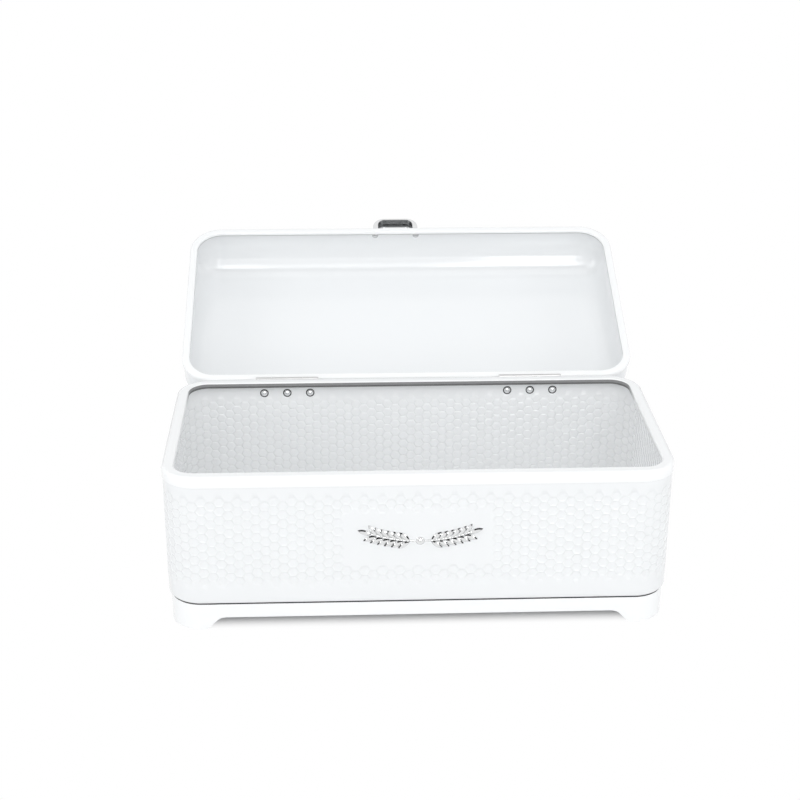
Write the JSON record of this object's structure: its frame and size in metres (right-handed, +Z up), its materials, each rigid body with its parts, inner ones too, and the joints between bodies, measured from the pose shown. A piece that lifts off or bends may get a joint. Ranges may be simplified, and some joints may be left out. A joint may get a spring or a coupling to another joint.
{
  "type": "bread box",
  "caption": "White steel bread box with an embossed tub on a footed plinth and a deep hinged lid, drawn open, with a chrome cup pull and a chrome wheat-ear ornament.",
  "frame": {"origin": "on the worktop under the middle of the body, at the height of the foot pads' faces", "axes": "+Z up, -Y the front with the ornament, +X to the right of someone who faces the front; the hinges are at +Y"},
  "size_m": [0.42, 0.4224, 0.2299],
  "materials": {
    "body_enamel": "glossy white enamel over hexagon-embossed steel sheet",
    "rim_enamel": "smooth glossy white enamel",
    "lid_enamel": "smooth glossy white enamel, plain inside and outside",
    "plinth_plastic": "glossy white moulding",
    "chrome_trim": "bright chrome plating",
    "bright_fasteners": "bright nickel-plated rivets and screws",
    "hinge_steel": "bright plated steel strip",
    "pad_rubber": "matt black rubber, under the feet"
  },
  "bodies": {
    "box": {"body_shell": "body_enamel", "body_rim": "rim_enamel", "base_pan": "body_enamel", "base_screws": "bright_fasteners", "plinth": "plinth_plastic", "ornament": "chrome_trim", "foot_pad_front_left": "pad_rubber", "foot_pad_front_right": "pad_rubber", "foot_pad_rear_left": "pad_rubber", "foot_pad_rear_right": "pad_rubber", "hinge_body_leaf_left": "hinge_steel", "hinge_pin_left": "hinge_steel", "body_rivets_left": "bright_fasteners", "hinge_body_leaf_right": "hinge_steel", "hinge_pin_right": "hinge_steel", "body_rivets_right": "bright_fasteners"},
    "lid": {"lid_shell": "lid_enamel", "lid_rim": "rim_enamel", "handle": "chrome_trim", "handle_screws": "bright_fasteners", "hinge_lid_leaf_left": "hinge_steel", "lid_rivets_left": "bright_fasteners", "hinge_lid_leaf_right": "hinge_steel", "lid_rivets_right": "bright_fasteners"}
  },
  "joints": [
    {"name": "lid_hinge", "type": "hinge", "parent": "box", "child": "lid", "pos_m": [0, 0.1049, 0.1405], "axis": [1, 0, 0], "range_deg": [0, 155]}
  ]
}
